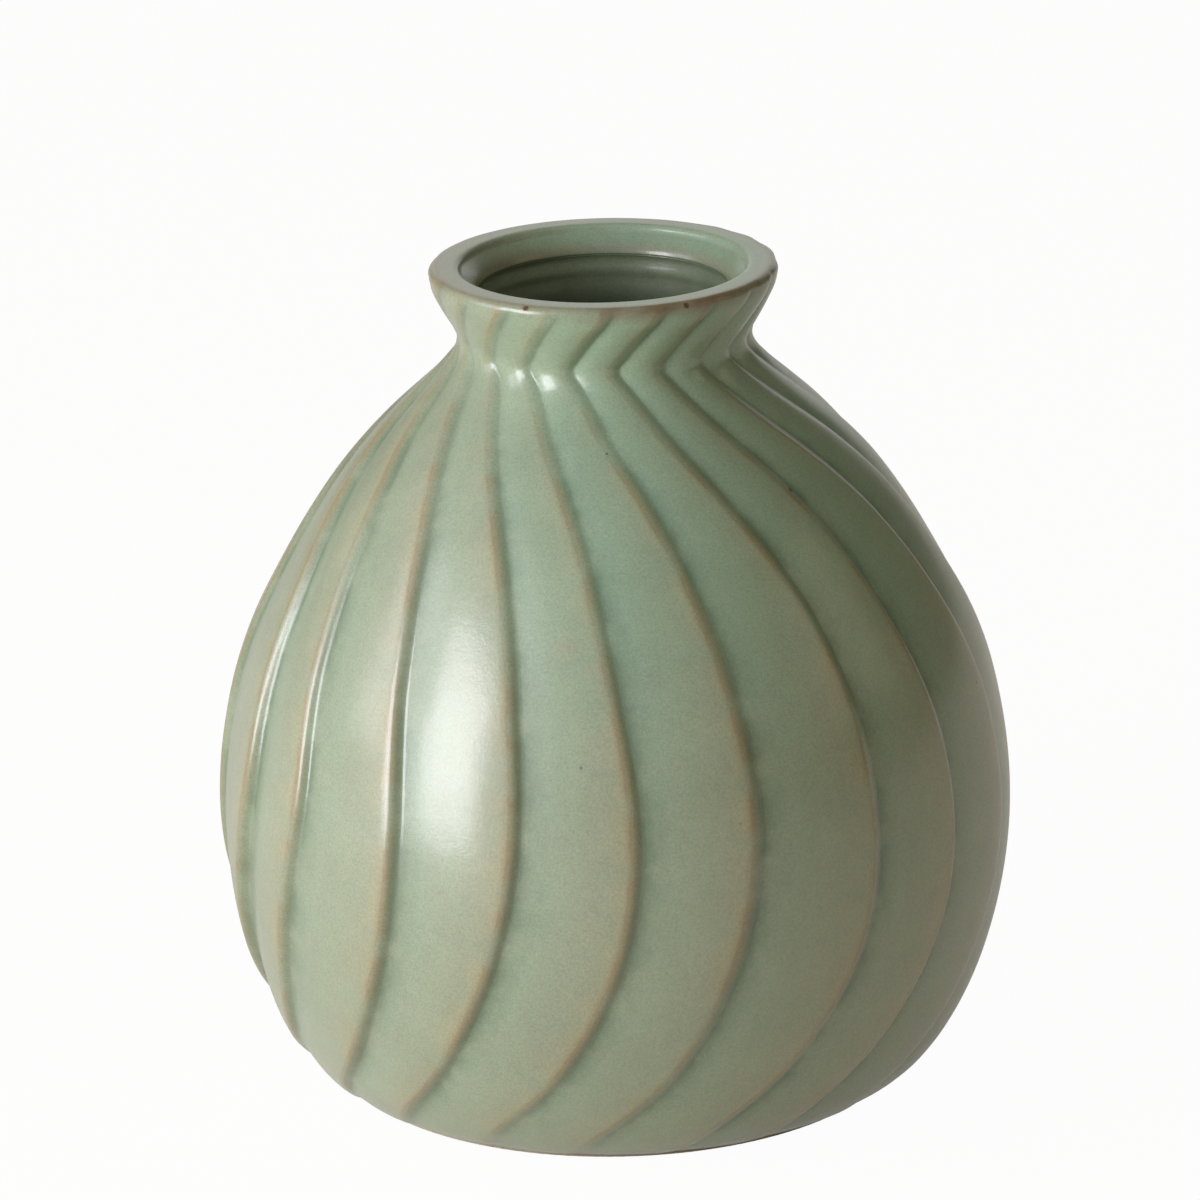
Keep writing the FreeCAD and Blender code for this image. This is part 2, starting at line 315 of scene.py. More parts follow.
def place_across(share, radius):
    """Where a share of the rib lies at this radius: the step keeps its width as the ribs narrow."""
    step = min(widest_step_share, step_width / (radius * pitch))
    if share > crest_share:
        return 1 - step * (1 - share) / (1 - crest_share)
    return (1 - step) * share / crest_share


print("The step takes", round(1 - place_across(crest_share, 81.4), 3), "of a rib at the belly")

# %% [markdown]
# ## Sizes that the pieces share
# Where clay meets clay or glaze, both sides need the same numbers. The heights of the joints come from
# the loaded frame, so this model can't drift away from it, and the rest are named here in millimetres.

# %% Shared sizes in millimetres
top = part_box("outer_glaze")[1][2] / MM
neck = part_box("body_wall")[1][2] / MM
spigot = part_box("collar")[0][2] / MM
ledge_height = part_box("inner_glaze")[1][2] / MM
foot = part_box("floor")[0][2] / MM
floor_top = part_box("floor")[1][2] / MM
floor_radius = 50.0
belly_height = 57.5
crest_glaze, valley_glaze, land_glaze, lining = 0.25, 0.60, 0.40, 0.40
deepest_rib = 2.3
rim_round = 1.6
rim_radius = 35.2
# The lip's inner round is softer here than in the solid model, as it is in the photograph.
mouth_radius, lip_round, ledge_radius = 28.8, 1.3, 25.1
throat_radius, groove_depth = 25.02, 0.42
lute_radius, lute_gap = 26.62, 0.1
land_radius = mouth_radius + lip_round
belly_wall, neck_wall = 4.4, 3.1
# The carved pieces stay this much inside the solid model, whose crests they follow.
hair = 0.02
# The photograph's shading asks for slightly shallower ribs, so the cuts take this share of the table's depth.
fullness = 0.88
for level, height in (("Top", top), ("neck", neck), ("ledge", ledge_height), ("floor", floor_top)):
    print(level, "at", round(height, 2), "mm")

# %% [markdown]
# ## Section curves
# The outside, the mouth, the throat and the hollow are four curves, and each piece is made of some of
# them. A curve for the clay is a curve for the glaze with the glaze's thickness, its cover, taken off.
# They could be drawn by hand as splines, but then the two sides of a coat would never match so well.

# %% Outside. A point is (radius, height, crest angle, rib depth)
# Rows of a side that can be seen, and of a side that lies hidden under the glaze
seen_rows, hidden_rows = 118, 46
fine_rows, round_steps = 2000, 8
# height mm, and how far apart the rows lie there
row_heights = (foot, 6, 30, 120, 146, 154, 158, 168)
row_spacings = (0.8, 1.4, 2.3, 2.2, 1.0, 0.6, 0.7, 0.8)


def ribbed_side(count, is_clay):
    """The outside from the foot to the land. Rows lie closer together at the neck and the rim."""
    fine = np.linspace(stations[0, 0], stations[-1, 0], fine_rows)
    radius = smooth_through(stations, 1, fine)
    spacing = np.interp(fine, row_heights, row_spacings)
    run = np.concatenate(([0], np.cumsum(np.hypot(np.diff(fine), np.diff(radius)) / spacing[1:])))
    rows = []
    for z in np.interp(np.linspace(0, run[-1], count), run, fine):
        rows.append([float(smooth_through(stations, column, z)) for column in (1, 2, 3)])
        rows[-1].insert(1, float(z))
    last_angle, last_depth = rows[-1][2], rows[-1][3]
    for step in range(1, round_steps + 1):
        round_angle = math.pi / 2 * step / round_steps
        radius = rim_radius - rim_round * (1 - math.cos(round_angle))
        z = top - rim_round * (1 - math.sin(round_angle))
        rows.append([radius, z, last_angle, last_depth * (1 - step / round_steps)])
    if is_clay:
        for row in rows:
            row[0] -= crest_glaze
            row[1] = min(row[1], neck + (row[1] - neck) * (top - land_glaze - neck) / (top - neck))
    return rows


print("Rows of the outside:", len(ribbed_side(seen_rows, False)))

# %% Mouth and throat. A point is (radius, height)
# share of the way down from the lip to the ledge, share of the way in
mouth_falls = np.array(((0.0, 0.0), (0.15, 0.25), (0.35, 0.54), (0.60, 0.81), (0.82, 0.95), (1.0, 1.0)))
# share of the way up from the lute to the ledge, share of the way out: two soft turning ridges
throat_rises = (
    (0.0, 0.0), (0.27, 0.0), (0.38, 0.05), (0.48, 0.27), (0.58, 0.50), (0.63, 0.53),
    (0.68, 0.44), (0.73, 0.48), (0.80, 0.71), (0.88, 0.95), (0.94, 1.0), (0.97, 0.84),
)
lip_steps, mouth_rows, hidden_mouth_rows = 4, 13, 5


def mouth_side(cover, count=mouth_rows):
    """The lip's inner round and the mouth down to the ledge, on the glaze or a cover's depth under it."""
    mouth, ledge, rim = mouth_radius + cover, ledge_radius + cover, top - cover
    rows = []
    for step in range(lip_steps + 1):
        round_angle = math.pi / 2 * step / lip_steps
        out, down = 1 - math.sin(round_angle), 1 - math.cos(round_angle)
        rows.append([mouth + lip_round * out, rim - lip_round * down])
    for fall in np.linspace(0, 1, count)[1:]:
        reach = float(smooth_through(mouth_falls, 1, fall))
        z = rim - lip_round - fall * (rim - lip_round - ledge_height)
        rows.append([mouth - reach * (mouth - ledge), z])
    return rows


def throat_side(cover):
    """The inside of the collar from the lute up to the ledge, with the groove under the ledge."""
    throat = throat_radius - cover
    groove = ledge_radius + land_glaze - cover + groove_depth
    climb = ledge_height - spigot
    rows = [[throat + out * (groove - throat), spigot + rise * climb] for rise, out in throat_rises]
    return rows + [[groove - groove_depth, ledge_height]]


print("The mouth narrows from", mouth_radius, "to", mouth_side(0)[-1][0], "mm")

# %% Hollow. A point is (radius, height)
hollow_rows, slope_reach = 60, 0.2
# How far the hollow's own curve keeps from the floor, the lute and the throat
floor_clear, lute_clear, throat_clear = 2.5, 1.5, 1
# The rounded corner at the floor: mm out from the floor's edge, mm up from the floor
corner_rows = ((6.9, 1.3), (3.5, 0.3))


def hollow_side(cover):
    """The inside of the body from the lute down to the floor's edge, a wall's thickness from the outside."""
    rows = []
    for z in np.linspace(foot + 1, neck, hollow_rows):
        radius, depth = (float(smooth_through(stations, column, z)) for column in (1, 3))
        slope = float(smooth_through(stations, 1, z + slope_reach) - radius) / slope_reach
        climb = max(0.0, (z - belly_height) / (neck - belly_height))
        pooled = crest_glaze + (valley_glaze - crest_glaze) * depth / deepest_rib
        wall = belly_wall + (neck_wall - belly_wall) * climb ** 4
        inset = (depth + pooled + wall + cover) / math.hypot(1, slope)
        rows.append([radius - inset, z + inset * slope])
    lowest, highest = floor_top + floor_clear, spigot - lute_clear
    kept = [row for row in rows if lowest < row[1] < highest and row[0] > throat_radius + throat_clear]
    rounded = [[floor_radius + out, floor_top + up + cover] for out, up in corner_rows]
    return [[throat_radius - cover, spigot]] + kept[::-1] + rounded + [[floor_radius, floor_top + cover]]


print("The hollow ends at", hollow_side(lining)[-1])

# %% [markdown]
# ## The hand's small differences
# A real pot of this kind is pressed in a mould or cut by hand, rib after rib, and no hand makes twenty
# equal ribs. So each rib leans and deepens a little differently. The ribs that the photograph shows
# follow it, and the others come from a seeded list that gives the same vase every time. A noise texture
# could do this too, but it would not know where one rib ends.

# %% How deep each rib is cut
hand = random.Random(11)
rib_deepen = [hand.uniform(0.6, 1.05) for _ in range(rib_count)]
rib_deepen[17:], rib_deepen[:3] = [0.75, 0.82, 0.68], [0.45, 0.42, 0.6]
# On the collar the left-hand ribs have nearly smoothed out.
collar_deepen = [1.0] * rib_count
collar_deepen[16:], collar_deepen[:1] = [0.5, 0.4, 0.3, 0.4], [0.6]
print("Depths run from", round(min(rib_deepen), 2), "to", round(max(rib_deepen), 2), "of the table's")

# %% How far each rib leans off its even place, in degrees at these heights
lean_heights = (0.0, 20.0, 45.0, 77.0, 113.0, 135.0, 150.0, 161.0, 170.0)
rib_leans = [[hand.uniform(-1.2, 1.0) for _ in range(4)] for _ in range(rib_count)]
# The six in front are measured.
rib_leans[17:] = [-0.9, -2.4, -1.9, -2.8], [0.5, 0.1, -1.3, -2.0], [-1.0, -0.6, -0.1, -0.1]
rib_leans[:3] = [-0.6, -0.5, -0.8, -1.5], [-1.1, -1.8, -1.3, -0.9], [0.4, 0.9, 0.5, 1.0]
# At the foot a rib leans less than just above it, and over the neck all ribs lean alike.
foot_lean_share, neck_leans = 0.7, [-1.7, -3.7, -4.2, -3.2]
lean_tables = [
    np.column_stack((lean_heights, [lean[0] * foot_lean_share] + lean + neck_leans)) for lean in rib_leans
]
print("The front rib leans", rib_leans[0], "degrees")


# %% The differences at any place
# At this share of its width, a panel has taken over from the rib before it.
takeover_share = 0.78
# Within calm_height of the top the depths even out, and within joint_height of the neck, below it and
# above it, the collar's own depths take over.
calm_height, joint_height = 25, 3


def eased(place):
    """0 up to 0, 1 from 1, and a soft step between them."""
    place = min(1.0, max(0.0, place))
    return place * place * (3 - 2 * place)


def hand_drift(rib, share, z):
    """How far this rib wanders round the vase here, and how much deeper it is cut."""
    here, before = rib % rib_count, (rib - 1) % rib_count
    blend = eased(share / takeover_share)
    before_turn, here_turn = (float(smooth_through(lean_tables[number], 1, z)) for number in (before, here))
    turn = math.radians(before_turn + (here_turn - before_turn) * blend)
    calm = min(1.0, (top - z) / calm_height)
    climb = min(1.0, max(0.0, (z - neck + joint_height) / (2 * joint_height)))
    kinds = [
        1 + (rib_deepen[number] - 1) * calm * (1 - climb) + (collar_deepen[number] - 1) * climb
        for number in (before, here)
    ]
    return turn, kinds[0] + (kinds[1] - kinds[0]) * blend


def softness(z):
    """How far the ribs have turned from the bulb's shingles into the neck's folds at this height."""
    return eased((z - neck + softening_height) / softening_height)


print("Halfway up the shoulder the ribs are", round(softness(130), 2), "soft")

# %% [markdown]
# ## Lumps on the rim
# At the back right of the rim, glaze ran together in blobs. They could be small balls joined to the coat,
# but a smooth swelling of the coat itself leaves no seam.

# %% Lumps. A row is (degrees right of the front, half its width in degrees, mm outward)
rim_lumps = ((137, 4.5, 0.55), (121, 4.0, 0.6), (105, 5.0, 0.35))
# mm: the height of the lumps' middle, how far they reach up and down, and the radius beyond which they show
lump_height, lump_reach, lump_start = 168.8, 2.2, 32


def lumps(angle, z):
    """How far the blobs of glaze swell out of the rim, in mm."""
    out = 0.0
    for turn, width, size in rim_lumps:
        off = (math.degrees(angle) - turn + 180) % 360 - 180
        out += size * math.exp(-(off / width) ** 2)
    return out * max(0.0, 1 - abs(z - lump_height) / lump_reach)


print("The largest lump is", round(lumps(math.radians(121), lump_height), 2), "mm")

# %% [markdown]
# ## Spinning and carving
# The section is spun about the axis, and then each vertex is carved: it slides round to a column of its
# rib, follows the twist at its height, and goes in by the depth of the rib. Columns crowd together at the
# step beside the crest, where the form turns fastest. Sculpting by hand would give the same forms, but
# a carving rule can be measured against the photograph and corrected rib by rib.

# %% Columns across one rib
column_shares = (
    0.000, 0.025, 0.060, 0.105, 0.165, 0.235, 0.310, 0.395, 0.480, 0.565,
    0.645, 0.715, 0.775, 0.825, 0.865, 0.895, 0.920, 0.942, 0.962, 0.982,
)
columns = rib_count * len(column_shares)
column_rises = [
    [float(smooth_through(rib_shares, kind, share)) for kind in (1, 2)] for share in column_shares
]
print("Each piece has", columns, "columns")


# %% Carving one vertex
def carved(column, z, radius, crest, depth, side):
    """The angle and the radius in mm to which a vertex goes. Its side is 0 on the glaze and 1 on clay."""
    rib, number = divmod(column, len(column_shares))
    share, (bulb_rise, neck_rise) = column_shares[number], column_rises[number]
    rise = bulb_rise + softness(z) * (neck_rise - bulb_rise)
    drift, deepen = hand_drift(rib, share, z)
    cut = depth * deepen * fullness * (1 - rise)
    if side > 0.5:
        cut += (valley_glaze - crest_glaze) * depth / deepest_rib * (1 - rise)
    across = place_across(share, radius) - place_across(crest_share, radius)
    angle = crest + (rib + across) * pitch + drift
    return angle, radius - cut - hair + (lumps(angle, z) if radius > lump_start else 0)


print("A vertex in a valley of the belly goes to", round(carved(0, 60.0, 81.4, 0.0, 2.3, 0)[1], 2), "mm")


# %% The map of the ribs
def chart_ribs(shape, column_of, arc_of):
    """The map "ribs": the rib's number plus the share across it, against the arc length in mm."""
    chart = shape.loops.layers.uv.new("ribs")
    for face in shape.faces:
        face.smooth = True
        highest = max(loop.vert[column_of] for loop in face.loops)
        for loop in face.loops:
            column = loop.vert[column_of]
            column += columns if highest - column > columns / 2 else 0
            rib, number = divmod(column, len(column_shares))
            loop[chart].uv = (rib + column_shares[number], loop.vert[arc_of])


# %% Spinning a piece
def spun_piece(name, section, closed_at_axis=False):
    """Spin a section once round, carve its ribs, and give it the map of the ribs.

    A section row is (radius, height, crest angle, rib depth, side), in mm and degrees. Side is 0 on the
    glaze, 1 on the clay under it and 2 on a plain round surface that keeps its shape."""
    shape = bmesh.new()
    layers = {key: shape.verts.layers.float.new(key) for key in ("crest", "depth", "side", "arc")}
    run, last, corners = 0.0, None, []
    for radius, z, crest, depth, side in section:
        corner = shape.verts.new((0, -radius * MM, z * MM))
        run += math.dist(last, (radius, z)) if last else 0.0
        last = (radius, z)
        for key, value in (("crest", math.radians(crest)), ("depth", depth), ("side", side), ("arc", run)):
            corner[layers[key]] = value
        corners.append(corner)
    pairs = list(zip(corners, corners[1:])) + ([] if closed_at_axis else [(corners[-1], corners[0])])
    edges = [shape.edges.new(pair) for pair in pairs]
    bmesh.ops.spin(
        shape, geom=corners + edges, cent=(0, 0, 0), axis=(0, 0, 1),
        angle=2 * math.pi, steps=columns, use_merge=True,
    )
    bmesh.ops.remove_doubles(shape, verts=shape.verts[:], dist=1e-6)
    column_of = shape.verts.layers.int.new("column")
    for vertex in shape.verts:
        x, y, height = vertex.co
        column = round(math.atan2(x, -y) / (2 * math.pi) * columns) % columns
        vertex[column_of] = column
        crest, depth, side = (vertex[layers[key]] for key in ("crest", "depth", "side"))
        if side < 1.5:
            angle, radius = carved(column, height / MM, math.hypot(x, y) / MM, crest, depth, side)
            vertex.co = (radius * MM * math.sin(angle), -radius * MM * math.cos(angle), height)
    chart_ribs(shape, column_of, layers["arc"])
    bmesh.ops.recalc_face_normals(shape, faces=shape.faces[:])
    data = bpy.data.meshes.new(name)
    shape.to_mesh(data)
    shape.free()
    piece = bpy.data.objects.new(name, data)
    scene.collection.objects.link(piece)
    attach(piece, "root")
    print(name, "has", len(data.polygons), "faces, section", round(run, 1), "mm")
    return piece


# %% [markdown]
# ## The outer coat of glaze
# The glaze is a skin 0.25 to 0.6 mm thick: thin where it breaks over a crest, thicker
# where it pools beside the next rib. It goes over the rim and ends on a small ledge inside the mouth.
# A Solidify modifier could give it a thickness, but that thickness would be even, so both sides are drawn.

# %% Outer coat
plain_angle = float(stations[-1, 2])
land_middle = 32.0
outside = [row + [0] for row in ribbed_side(seen_rows, False)]
land_radii = np.linspace(rim_radius - rim_round, land_radius, 6)[1:-1]
land = [[radius, top, plain_angle, 0, 0] for radius in land_radii]
mouth = [row + [plain_angle, 0, 0] for row in mouth_side(0)]
under_mouth = [row + [plain_angle, 0, 0] for row in mouth_side(land_glaze, hidden_mouth_rows)[::-1]]
under_land = [[land_middle, top - land_glaze, plain_angle, 0, 0]]
under_side = [row + [1] for row in ribbed_side(hidden_rows, True)[::-1]]
coat = spun_piece("outer_coat", outside + land + mouth + under_mouth + under_land + under_side)
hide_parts("outer_glaze")
rim_arc = sum(math.dist(a[:2], b[:2]) for a, b in zip(outside, outside[1:]))
print("Arc to the land", round(rim_arc, 1), "mm")

# %% [markdown]
# ## The lining
# Stoneware holds water only if it is glazed inside, so a second coat lines the throat, the wall and the
# floor. It is smooth, because nobody carves the inside of a bottle. Both of its sides are one section.

# %% Lining
inner = [row + [0, 0, 2] for row in throat_side(lining)[::-1] + hollow_side(lining)[1:]]
outer = [row + [0, 0, 2] for row in throat_side(0)[::-1] + hollow_side(0)[1:]]
inner += [[0, floor_top + lining, 0, 0, 2]]
outer += [[0, floor_top, 0, 0, 2]]
liner = spun_piece("lining", inner[::-1] + outer, closed_at_axis=True)
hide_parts("inner_glaze")

# %% [markdown]
# ## The clay
# The bulb and the collar are two pressings, joined with slip in a stepped rebate at the neck, where the
# ribs change direction. Hardly any of it shows under the glaze, apart from the bare foot, but each is
# the true piece: its outside is the underside of the coat, from the same rows and the same carving.

# %% Body wall and collar
neck_station = min(stations, key=lambda row: abs(row[0] - neck))
neck_radius, neck_angle, neck_depth = (float(value) for value in neck_station[1:])
joint_row = [neck_radius - crest_glaze, neck, neck_angle, neck_depth, 1]
# Rows this near the joint would crowd its own row.
joint_clear = 0.3
clay_rows = [row + [1] for row in ribbed_side(hidden_rows, True)]
body_rows = [row for row in clay_rows if row[1] < neck - joint_clear]
collar_rows = [row for row in clay_rows if row[1] > neck + joint_clear]
socket = lute_radius + lute_gap
body_inside = [[socket, neck], [socket, spigot]] + hollow_side(0) + [[floor_radius, foot]]
body = spun_piece("bulb_clay", body_rows + [joint_row] + [row + [0, 0, 2] for row in body_inside])
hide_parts("body_wall")

lute_side = [[lute_radius, spigot], [lute_radius, neck]]
collar_inside = mouth_side(land_glaze, hidden_mouth_rows) + throat_side(0)[-2::-1] + lute_side
collar = spun_piece("collar_clay", [joint_row] + collar_rows + [row + [0, 0, 2] for row in collar_inside])
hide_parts("collar")

# %% [markdown]
# ## Sage green glaze
# The glaze is an iron celadon, semi-gloss, reduction fired. Over a crest it runs thin, and the iron in
# the clay shows through as an ochre line. In the middle of a panel it is a greyed sage, and beside the
# step, where it pools, it is deeper and bluer, and that valley is painted darker still as shade. The rib
# map says where each of these is: the whole part of its first number counts the ribs, and the fraction
# is the place across one rib. Its second number is the way up the section in mm. An image could be
# painted for it, but a colour ramp over the map stays sharp at any size.

# %% Ramps along the section
map_length = rim_arc + 14.0
print("The ramps run over", round(map_length, 1), "mm of the section")


def along(*stops):
    """Ramp stops given in mm up the section."""
    return tuple((place / map_length, hex_code, alpha) for place, hex_code, alpha in stops)


# %% Panels and crest lines
def panel_colour_and_valley_shade(tree, drift, chart, shown):
    """The colour by the place across a rib, with painted shade in the valley, and the plain glaze where the
    crest line doesn't show.
    """
    nudge = add(tree, "MapRange", {
        "Value": drift.outputs[0], "From Min": 0.3, "From Max": 0.7, "To Min": -0.012, "To Max": 0.012,
    })
    across = add(tree, "Math", {0: chart.outputs["X"], 1: nudge.outputs[0]}, operation="ADD")
    share = add(tree, "Math", {0: across.outputs[0]}, operation="FRACT")
    # From the step into the next valley the glaze pools deeper and bluer, and the valley is also painted
    # darker as shade.
    panel = add(tree, "ValToRGB", {0: share.outputs[0]}, stops=(
        (0.00, "6e8168", 1.0), (0.03, "798c71", 1.0), (0.09, "889b80", 1.0), (0.22, "94a58a", 1.0),
        (0.42, "98a689", 1.0), (0.66, "9ea588", 1.0), (0.79, "a4a584", 1.0), (0.825, "a39b79", 1.0),
        (0.845, "988d6d", 1.0), (0.88, "98926f", 1.0), (0.93, "8b9473", 1.0), (0.975, "788a6f", 1.0),
    ))
    plain = colour("97a589")
    return add(tree, "Mix", {0: shown.outputs[0], 6: plain, 7: panel.outputs[0]}, data_type="RGBA").outputs[2]


# %% Foot edge, rim and mouth
def edge_colour(tree, base, place, way, patchy):
    """The colours along the section's ends. A ramp's alpha says how much of them shows."""
    edges = add(tree, "ValToRGB", {0: way.outputs[0]}, stops=along(
        (0.0, "80704c", 1.0), (0.6, "8a7d58", 0.85), (1.6, "9a9a7c", 0.4), (4.0, "9aa48a", 0.0),
        (rim_arc - 2.6, "9b9b80", 0.0), (rim_arc - 0.4, "a09c80", 0.9), (rim_arc + 0.8, "a6ae92", 1.0),
        (rim_arc + 3.4, "a3ae92", 1.0), (rim_arc + 4.8, "98a68a", 0.8), (rim_arc + 7.5, "8ea084", 0.9),
        (rim_arc + 10.0, "8b8a6c", 0.95), (map_length, "5d6853", 1.0),
    ))
    base = add(tree, "Mix", {
        0: edges.outputs["Alpha"], 6: base, 7: edges.outputs[0],
    }, data_type="RGBA").outputs[2]
    # Iron shows as rust along the outer round of the rim, most of all at the front right.
    rust = add(tree, "ValToRGB", {0: way.outputs[0]}, stops=along(
        (rim_arc - 4.6, "000000", 0.0), (rim_arc - 2.2, "000000", 0.6),
        (rim_arc - 0.9, "000000", 1.0), (rim_arc + 0.3, "000000", 0.0),
    ))
    right_side = add(tree, "MapRange", {
        "Value": add(tree, "SeparateXYZ", {0: place}).outputs["X"],
        "From Min": -20 * MM, "From Max": 6 * MM, "To Min": 0.35, "To Max": 1.0,
    })
    rust = add(tree, "Math", {0: rust.outputs["Alpha"], 1: right_side.outputs[0]}, operation="MULTIPLY")
    rust = add(tree, "Math", {0: rust.outputs[0], 1: patchy.outputs[0]}, operation="MULTIPLY")
    return add(tree, "Mix", {0: rust.outputs[0], 6: base, 7: colour("7d5c3f")}, data_type="RGBA").outputs[2]


# %% [markdown]
# ## Marks
# Each pot has marks of its own: pits in the rim where gas broke through, pinholes, a faint pink stain and
# rust near the foot. They are round, so a distance from a centre draws each one, and it stays in its
# place from any side. A painted mask would do the same for marks of any outline.

# %% Places measured in the photograph, in mm
rim_pits = ((-15.3, -31.1, 169.6), (16.3, -30.8, 169.3))
pinholes = (
    (72.8, -22.8, 86.6), (35.9, -34.6, 131.8), (24.1, -74.8, 77.0), (-6.3, -75.0, 89.2),
    (-21.9, -60.5, 111.7),
)
stains = ((-8.9, -64.8, 110.0),)
rusty_patches = ((-9.7, -58.3, 1.9), (31.5, -55.0, 4.4), (26.0, -56.0, 2.0))
# centres, radius of the full mark in mm, radius at which it has faded, colour, how strong it is
marks = (
    (rusty_patches, 0.6, 3.2, "876443", 0.6),
    (stains, 0.5, 4.0, "a88c78", 0.3),
    (rim_pits, 0.5, 1.4, "a07a50", 0.6),
)
print("Marks:", len(rim_pits + pinholes + stains + rusty_patches))


# %% Round marks
def spots(tree, place, centres, inner, outer):
    """How much of each point lies in a round mark: 1 within the inner radius, 0 beyond the outer, in mm."""
    most = 0.0
    for centre in centres:
        away = add(tree, "VectorMath", {0: place, 1: [side * MM for side in centre]}, operation="DISTANCE")
        near = add(tree, "MapRange", {
            "Value": away.outputs["Value"], "From Min": inner * MM, "From Max": outer * MM,
            "To Min": 1.0, "To Max": 0.0,
        })
        most = add(tree, "Math", {0: most, 1: near.outputs[0]}, operation="MAXIMUM").outputs[0]
    return most


# %% The whole colour of the outer coat
def ribbed_colour(tree, place, drift):
    """Panels, crest lines, edges and marks, under a wash of mint on the front of the shoulder and a painted
    greyer haze on the window side.
    """
    chart = add(tree, "SeparateXYZ", {0: add(tree, "UVMap", uv_map="ribs").outputs[0]})
    way = add(tree, "MapRange", {"Value": chart.outputs["Y"], "From Min": 0.0, "From Max": map_length})
    # The crest line breaks off here and there. It fades at the foot and round the neck, and is strong
    # again at the rim.
    patchy = add(tree, "TexNoise", {"Vector": place, "Scale": 1 / (9 * MM), "Detail": 2.0, "Roughness": 0.5})
    patchy = add(tree, "MapRange", {
        "Value": patchy.outputs[0], "From Min": 0.36, "From Max": 0.56, "To Min": 0.35, "To Max": 1.0,
    })
    fade = add(tree, "ValToRGB", {0: way.outputs[0]}, stops=along(
        (0.0, "8c8c8c", 1.0), (14, "ffffff", 1.0), (rim_arc - 42, "ffffff", 1.0),
        (rim_arc - 22, "a8a8a8", 1.0), (rim_arc - 13, "b4b4b4", 1.0), (rim_arc - 5, "f4f4f4", 1.0),
    ))
    shown = add(tree, "Math", {0: patchy.outputs[0], 1: fade.outputs[0]}, operation="MULTIPLY")
    base = panel_colour_and_valley_shade(tree, drift, chart, shown)
    base = edge_colour(tree, base, place, way, patchy)
    for centres, inner, outer, hex_code, most in marks:
        mark = spots(tree, place, centres, inner, outer)
        mark = add(tree, "Math", {0: mark, 1: most}, operation="MULTIPLY").outputs[0]
        base = add(tree, "Mix", {0: mark, 6: base, 7: colour(hex_code)}, data_type="RGBA").outputs[2]
    # The glaze ran thinner and greyer on the belly than on the front of the shoulder, where it is more of a
    # mint.
    # The shoulder's left side, towards the window, keeps the greyer tone too: painted light, the window's
    # pale haze.
    spread = add(tree, "SeparateXYZ", {0: place})
    high = add(tree, "MapRange", {
        "Value": spread.outputs["Z"], "From Min": 75 * MM, "From Max": 125 * MM,
    }, interpolation_type="SMOOTHSTEP")
    front = add(tree, "MapRange", {
        "Value": spread.outputs["X"], "From Min": -36 * MM, "From Max": -2 * MM,
    }, interpolation_type="SMOOTHSTEP")
    mint = add(tree, "Math", {0: high.outputs[0], 1: front.outputs[0]}, operation="MULTIPLY")
    # Painted light: the window side of the shoulder stays greyer, as the window's haze.
    mint_and_window_haze = add(tree, "ValToRGB", {0: mint.outputs[0]}, stops=((0.0, "fffafc", 1.0), (1.0, "f4ffff", 1.0)))
    both = {0: 1.0, 6: base, 7: mint_and_window_haze.outputs[0]}
    return add(tree, "Mix", both, data_type="RGBA", blend_type="MULTIPLY").outputs[2]


# %% The colour of the lining, with painted shade
def lining_colour_and_shade(tree, place, clouds):
    """A cloudy olive, darker than the outer glaze as painted shade of the hollow, and darker still down the
    throat as painted shade, where little light gets in.
    """
    # The lining is the same glaze as the outside. These darker olives are painted shade.
    base = add(tree, "ValToRGB", {0: clouds.outputs[0]}, stops=((0.3, "6f7a60", 1.0), (0.7, "7c876c", 1.0)))
    height = add(tree, "SeparateXYZ", {0: place}).outputs["Z"]
    # Painted shade: the colour darkens down the throat.
    deep = add(tree, "MapRange", {
        "Value": height, "From Min": 153 * MM, "From Max": 163 * MM, "To Min": 0.62, "To Max": 1.0,
    })
    both = {0: 1.0, 6: base.outputs[0], 7: deep.outputs[0]}
    return add(tree, "Mix", both, data_type="RGBA", blend_type="MULTIPLY").outputs[2]


# %% [markdown]
# ## The glaze as a material
# A fired glaze is a layer of glass over a body that scatters light, so it has two shines: a satin one
# with a wide haze, and a glossier skin over it. The shader's coat is that skin. One glossy layer would be
# simpler, but its highlight would be either all sharp or all dull. Glass and glaze bend light at about 1.5.


